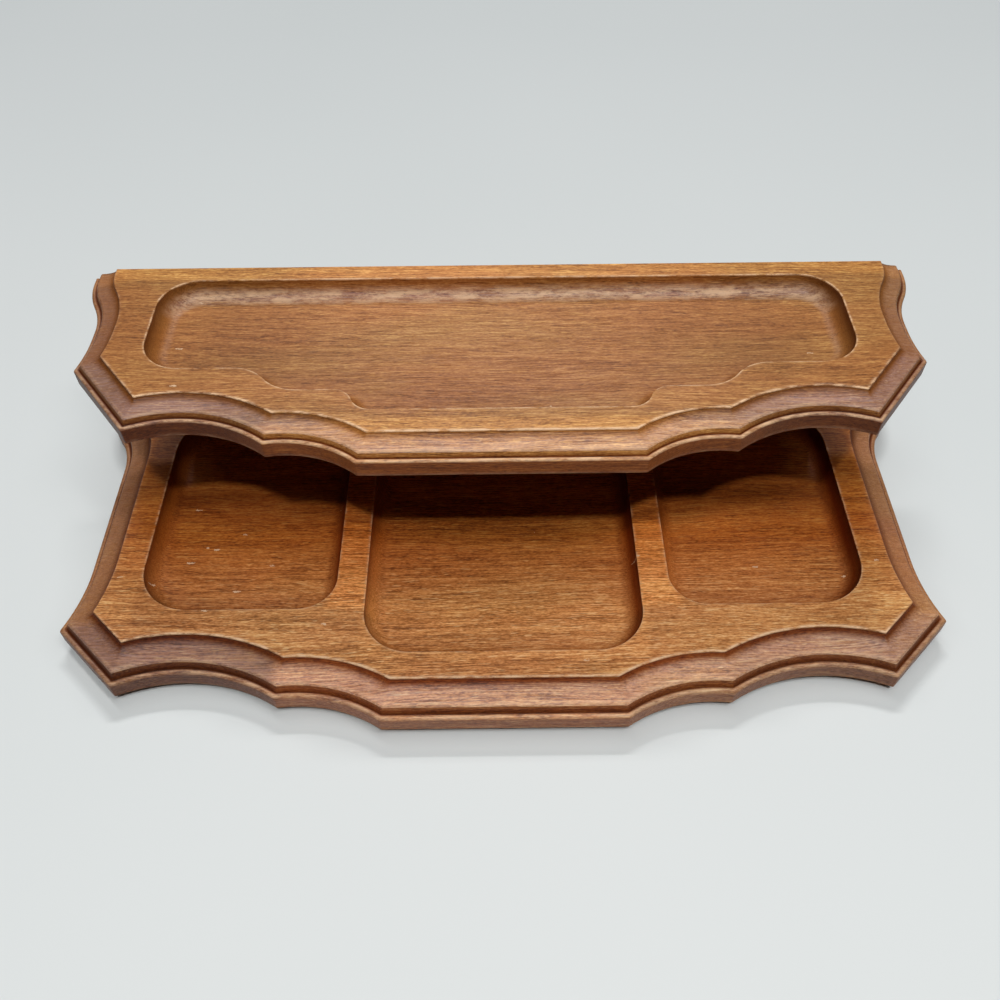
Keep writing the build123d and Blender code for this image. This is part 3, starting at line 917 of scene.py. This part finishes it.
def felt(name):
    g = Graph(name)
    place = g.place()
    fibres = g.noise(g.stretched(place, (2600, 2600, 2600)), detail=4.0, roughness=0.7)
    clumps = g.noise(place, scale=420.0, detail=3.0)
    share = g.math("ADD", g.times(fibres, 0.6), g.times(clumps, 0.4))
    color = g.ramp(g.remap(share, 0.35, 0.65), FELT_TONES)
    g.shader.inputs["Sheen Weight"].default_value = 0.35
    return g.finish(color, 0.95, share, strength=0.8, distance=0.0004)


def plated_steel(name):
    g = Graph(name)
    stains = g.noise(g.place(), scale=700.0, detail=4.0, roughness=0.65)
    color = g.ramp(g.remap(stains, 0.35, 0.7), STEEL_TONES)
    g.shader.inputs["Metallic"].default_value = 1.0
    return g.finish(color, g.remap(stains, 0.3, 0.7, 0.28, 0.6))


def backdrop_paper(name):
    g = Graph(name)
    place = g.place()
    color = g.ramp(g.noise(place, scale=2.0), PAPER_TONES)
    # Painted shade: the paper darkens towards the back
    behind = g.remap(g.node("ShaderNodeSeparateXYZ", {0: place}).outputs["Y"], -0.2, 0.5)
    g.shader.inputs["Specular IOR Level"].default_value = 0.2
    return g.finish(g.blend(behind, color, (*PAPER_BEHIND_TINT, 1), kind="MULTIPLY"), 0.85)


# ---------------------------------------------------------------- the woods

HONEY_WALNUT = ((0.195, 0.065, 0.0155), (0.375, 0.138, 0.036), (0.56, 0.232, 0.077),
                (0.695, 0.335, 0.12), (0.82, 0.51, 0.25))
REDDISH_WALNUT = ((0.165, 0.054, 0.012), (0.295, 0.110, 0.026), (0.382, 0.152, 0.040),
                  (0.46, 0.202, 0.059), (0.58, 0.295, 0.098))
SHADED_WALNUT = ((0.07, 0.016, 0.002), (0.18, 0.048, 0.006), (0.25, 0.074, 0.011),
                 (0.31, 0.10, 0.017), (0.38, 0.14, 0.03))
BIRCH = ((0.42, 0.27, 0.14), (0.58, 0.41, 0.24), (0.66, 0.49, 0.31), (0.70, 0.53, 0.35),
         (0.73, 0.57, 0.39))

# Nicks seen on the boards: x, y, length and width
BASE_NICKS = (
    (-134.7, 17.3, 4.0, 1.4), (-133.0, -11.9, 5.0, 1.3), (-157.7, -24.9, 3.0, 1.2),
    (-146.2, -24.6, 3.2, 1.1), (-111.2, -27.1, 4.5, 1.4), (55.7, -17.2, 4.2, 1.2),
    (107.0, -17.4, 3.4, 1.2), (155.1, -20.7, 3.0, 1.2), (-71.2, -49.0, 3.4, 1.2),
    (-119.9, -42.1, 3.6, 1.3), (31.5, -66.7, 3.4, 1.1), (143.3, -23.1, 2.2, 1.2),
    (-123.0, -5.0, 3.8, 1.2), (-98.0, -14.0, 3.0, 1.1), (-112.0, 3.0, 2.8, 1.0),
)
UPPER_NICKS = (
    (-125.3, 13.6, 3.6, 1.5), (-131.1, 44.4, 4.4, 1.5), (-127.3, 73.2, 3.4, 1.2),
    (125.4, 37.7, 3.6, 1.2),
)

# Painted shade where the upper tray shades the base, in millimetres: each pair is where that
# starts and where it is full. The far pairs count further back, and the last three keep it off
# the moulding and off the back.
UNDER_TRAY_SHADE_PLACES = {
    "depth": (-45.0, 0.0), "side": (172.0, 158.0), "far_depth": (0.0, 30.0),
    "far_side": (182.0, 170.0), "in_moulding": (156.0, 150.0), "top": (19.0, 19.8),
    "back": (86.0, 82.0),
}

# Stretches on both halves tinted lighter or darker: the polish of hands, painted shade deep in
# the side pockets and on the far ledges under the upper tray, and others a little lighter or
# darker. Each gives from the left to the right edge, on both halves, from the front to the back
# edge, how far those fade, and the tint
POLISHED = (1.38, 1.40, 1.34)
ENDS_TINT = (0.88, 0.88, 0.85)
ANYWHERE = (-300.0, 300.0)
BASE_TINTED_STRETCHES = (
    (54.0, 70.0, -40.0, 0.0, 3.0, 3.0, POLISHED),
    (-9.0, 56.0, -62.0, -38.0, 3.0, 8.0, (1.10, 1.12, 1.10)),
    # Painted shade deep in the side pockets, under the upper tray
    (72.0, 144.0, 22.0, 24.0, 3.0, 16.0, (0.55, 0.47, 0.40)),
    (150.0, 200.0, -45.0, -7.0, 3.0, 4.0, (1.15, 1.20, 1.20)),
    # Painted shade on the far ledges under the upper tray
    (150.0, 158.0, 28.0, 80.0, 3.0, 12.0, (0.70, 0.68, 0.64)),
    (145.0, 300.0, *ANYWHERE, 40.0, 3.0, ENDS_TINT),
)
UPPER_TINTED_STRETCHES = (
    (-9.0, 120.0, -40.0, -7.0, 3.0, 3.0, POLISHED),
    (-9.0, 190.0, 80.0, 100.0, 3.0, 3.0, POLISHED),
    (110.0, 300.0, *ANYWHERE, 50.0, 3.0, ENDS_TINT),
)

base_wood = wood("base_wood", HONEY_WALNUT, (0.045, -0.16, 0.03), seed=1, under_tray_shade=UNDER_TRAY_SHADE_PLACES,
                 tinted_stretches=BASE_TINTED_STRETCHES, nicks=BASE_NICKS,
                 underside=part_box("base_tray")[0].z / MM)
upper_wood = wood("upper_wood", REDDISH_WALNUT, (0.035, -0.02, 0.09), seed=4, contrast=1.1,
                  tinted_stretches=UPPER_TINTED_STRETCHES, nicks=UPPER_NICKS,
                  underside=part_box("upper_tray")[0].z / MM)
panel_wood = wood("panel_wood", SHADED_WALNUT, (0.30, -0.25, 0.02), seed=7)
dowel_wood = wood("dowel_wood", BIRCH, (0.20, -0.30, 0.0), seed=9)
screw_steel = plated_steel("screw_steel")
pad_felt = felt("pad_felt")


# ---------------------------------------------------------------- the pieces

def right_side(board, points, rear_margin):
    """Corners of a pocket's right half. Each point is an X and a setback from the board's
    front, and the last X also has a corner at the rear margin."""
    front_y = REAR_Y - board["depth"]
    corners = [(x, front_y + setback) for x, setback in points]
    return corners + [(points[-1][0], REAR_Y - rear_margin)]


def mirrored(corners):
    return [(-x, y) for x, y in reversed(corners)]


BASE_POCKETS_REAR_MARGIN = 19.0
UPPER_POCKET_REAR_MARGIN = 9.0

middle_right = right_side(BASE, [(55.8, 25.0)], BASE_POCKETS_REAR_MARGIN)
middle_pocket = (middle_right + mirrored(middle_right), [19.0] * 4)

side_inner_x = 68.0
side_right = right_side(BASE, [(side_inner_x, 45.6), (148.6, 45.6)], BASE_POCKETS_REAR_MARGIN)
right_pocket = (side_right + [(side_inner_x, REAR_Y - BASE_POCKETS_REAR_MARGIN)],
                [15.0, 21.5, 21.5, 15.0])
left_pocket = (mirrored(right_pocket[0]), right_pocket[1][::-1])

upper_right = right_side(
    UPPER, [(54.5, 22.4), (58.9, 33.4), (86.2, 33.4), (96.8, 46.0), (142.0, 46.0)],
    UPPER_POCKET_REAR_MARGIN)
upper_radii = [8.2, 8.2, 16.5, 16.5, 16.5, 16.5]
upper_pocket = (upper_right + mirrored(upper_right), upper_radii + upper_radii[::-1])

# The screws stand in a row; the countersink's rows are its radii and heights
SCREW_HEAD_RADIUS = 4.2
COUNTERSINK = [(4.95, 0.0), (4.75, 0.05), (2.25, 2.55), (2.25, 8.0)]
screw_low, screw_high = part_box("panel_screws")
screw_y = (screw_low.y + screw_high.y) / 2 / MM
screw_reach = (screw_high.x - screw_low.x) / 2 / MM - SCREW_HEAD_RADIUS
screw_holes = [((screw_reach * share, screw_y), COUNTERSINK)
               for share in (-1, -1 / 3, 1 / 3, 1)]

build_board("base_board", BASE, [middle_pocket, right_pocket, left_pocket], screw_holes,
            base_wood, "base_wood")
build_board("upper_board", UPPER, [upper_pocket], [], upper_wood, "upper_wood")

carried_over = {
    "rear_panel": (panel_wood, "panel_wood"),
    "panel_dowels": (dowel_wood, "dowel_wood"),
    "panel_screws": (screw_steel, "screw_steel"),
}
for name, (material, slot) in carried_over.items():
    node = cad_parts[name]
    node.data.materials.clear()
    node.data.materials.append(material)
edge_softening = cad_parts["rear_panel"].modifiers.new("soft_edges", "BEVEL")
edge_softening.width = 0.0006
edge_softening.segments = 2
edge_softening.angle_limit = math.radians(50)

# The felt's rim as insets and heights, its points, and how far these stray inwards
FELT_RIM = ((1.4, 0.0), (0.5, 0.05), (0.15, 0.25), (0.02, 0.6), (0.02, 1.0), (0.15, 1.3))
FELT_TOP_INSET = 0.5
FELT_POINTS = 72
FELT_STRAY = 0.12


def felt_pad(node):
    """A stamped felt disc with a soft, slightly uneven rim."""
    low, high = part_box(node)
    centre = (low + high) / 2 / MM
    radius, thickness = (high.x - low.x) / 2 / MM, (high.z - low.z) / MM
    shell = Shell(node + "_felt")
    strays = [random.uniform(0.0, FELT_STRAY) for _ in range(FELT_POINTS)]
    rows = []
    for inset, z in (*FELT_RIM, (FELT_TOP_INSET, thickness)):
        points = circle(centre, [radius - inset - stray for stray in strays])
        rows.append(shell.row(points, z))
    shell.skin(rows, closed=True)
    shell.fill([rows[0]])
    shell.fill([rows[-1]])
    shell.finish(pad_felt, "pad_felt", node)


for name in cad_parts:
    if name.startswith("felt_pad"):
        felt_pad(name)


# ---------------------------------------------------------------- the stage

FLOOR_REACH = 4

floor_mesh = bpy.data.meshes.new("floor")
floor_mesh.from_pydata(
    [(x * FLOOR_REACH, y * FLOOR_REACH, 0) for x, y in ((-1, -1), (1, -1), (1, 1), (-1, 1))],
    [], [(0, 1, 2, 3)],
)
floor = bpy.data.objects.new("floor", floor_mesh)
floor.data.materials.append(backdrop_paper("paper"))
bpy.context.scene.collection.objects.link(floor)

# Each lamp's lean to the right and to the back for each unit of height, its distance, its
# size, and its level, as the share of a plain exposure that it gives
LAMPS = {
    "front_low": (0.04, -0.49, 2.2, (0.12, 0.10), 0.28),
    "front_high": (0.06, -0.31, 2.0, (2.2, 0.16), 0.255),
    "overhead": (0.06, 0.06, 2.4, (3.2, 0.20), 0.265),
    "back": (0.0, 0.84, 5.0, (2.0, 0.30), 0.28),
}
LAMP_AIM = Vector((0, 0, 0.04))


def area_light(name, lean_x, lean_y, distance, size, level):
    towards = Vector((lean_x, lean_y, 1)).normalized()
    lamp = bpy.data.lights.new(name, "AREA")
    lamp.shape = "RECTANGLE"
    lamp.size, lamp.size_y = size
    # A wide lamp's ends are further off and seen at a slant
    reach = math.atan(size[0] / 2 / distance)
    sideways_loss = (reach + math.sin(2 * reach) / 2) / (2 * math.tan(reach))
    lamp.energy = level * (math.pi * distance) ** 2 / towards.z / sideways_loss
    holder = bpy.data.objects.new(name, lamp)
    holder.location = LAMP_AIM + towards * distance
    holder.rotation_euler = towards.to_track_quat("Z", "Y").to_euler()
    bpy.context.scene.collection.objects.link(holder)


for name, lamp in LAMPS.items():
    area_light(name, *lamp)

world = bpy.data.worlds.new("world")
bpy.context.scene.world = world
world.use_nodes = True
world.node_tree.nodes["Background"].inputs["Color"].default_value = (0.93, 0.97, 1.0, 1)
world.node_tree.nodes["Background"].inputs["Strength"].default_value = 0.02

# The camera of the photograph, found from the tray's own corners: its angles in radians, and
# its place in millimetres
FOCAL_LENGTH, SENSOR_WIDTH = 35.43, 36.0
PITCH, YAW, ROLL = 0.8737, 0.0037, 0.0086
EYE = (-1.8, -262.4, 350.2)

camera_data = bpy.data.cameras.new("camera")
camera_data.sensor_width = SENSOR_WIDTH
camera_data.lens = FOCAL_LENGTH
camera = bpy.data.objects.new("camera", camera_data)
forward = Vector((math.sin(YAW) * math.cos(PITCH), math.cos(YAW) * math.cos(PITCH),
                  -math.sin(PITCH)))
level = Vector((math.cos(YAW), -math.sin(YAW), 0))
down = forward.cross(level)
image_x = math.cos(ROLL) * level + math.sin(ROLL) * down
image_down = -math.sin(ROLL) * level + math.cos(ROLL) * down
turn = Matrix((image_x, -image_down, -forward)).transposed().to_4x4()
camera.matrix_world = Matrix.Translation(Vector(EYE) * MM) @ turn
bpy.context.scene.collection.objects.link(camera)
bpy.context.scene.camera = camera

bpy.context.scene.view_settings.view_transform = "Standard"
